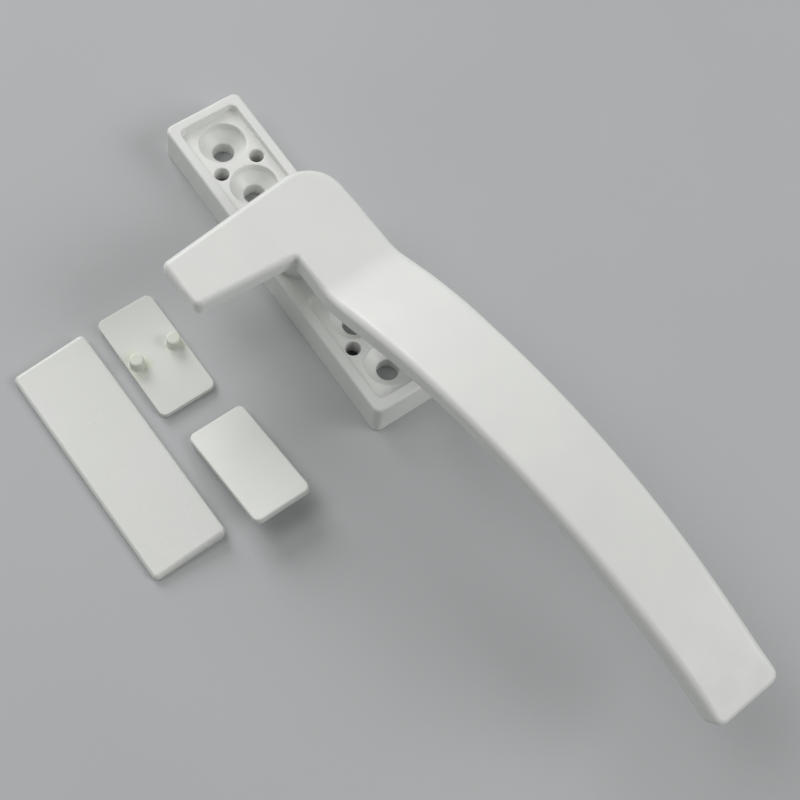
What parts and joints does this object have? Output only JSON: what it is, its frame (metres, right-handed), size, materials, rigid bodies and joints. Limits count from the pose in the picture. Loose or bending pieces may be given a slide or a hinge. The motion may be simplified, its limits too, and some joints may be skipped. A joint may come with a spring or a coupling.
{
  "type": "cockspur window handle",
  "caption": "Cranked lever with a sideways locking nose on a screw-fixed rectangular base, with two snap-in end covers and a wedge strike plate lying beside it.",
  "frame": {"origin": "where the lever's pivot axis meets the base's mounting face; it is also the centre of the outer pair of screw holes", "axes": "+Z along the pivot axis, away from the window; +X along the base towards the grip; the locking nose points to -Y"},
  "size_m": [0.1965, 0.0936, 0.0463],
  "materials": {
    "white_coat": "satin white powder coat on a light-alloy casting",
    "cover_plastic": "satin moulded plastic, slightly warmer than the coat",
    "strike_plastic": "smooth glossy moulded plastic",
    "nylon": "natural nylon",
    "steel": "turned, zinc plated",
    "spring_steel": "phosphated spring steel"
  },
  "bodies": {
    "base_body": {"base": "white_coat", "pivot_bush": "nylon", "friction_washer": "nylon", "stop_pin": "steel", "disc_springs": "spring_steel"},
    "lever_body": {"lever": "white_coat", "pivot_pin": "steel", "thrust_washer": "steel", "circlip": "spring_steel"},
    "cover_a_body": {"end_cover_a": "cover_plastic"},
    "cover_b_body": {"end_cover_b": "cover_plastic"},
    "strike_body": {"strike_plate": "strike_plastic"}
  },
  "joints": [
    {"name": "lever_turn", "type": "hinge", "parent": "base_body", "child": "lever_body", "pos_m": [0, 0, 0.0105], "axis": [0, 0, 1], "range_deg": [-3.6, 86.4]},
    {"name": "cover_a_lift", "type": "slide", "parent": "base_body", "child": "cover_a_body", "axis": [0, 0, 1], "range_m": [0, 0.02]},
    {"name": "cover_b_lift", "type": "slide", "parent": "base_body", "child": "cover_b_body", "axis": [0, 0, 1], "range_m": [0, 0.02]},
    {"name": "strike_lift", "type": "slide", "parent": "base_body", "child": "strike_body", "axis": [0, 0, 1], "range_m": [0, 0.02]}
  ]
}
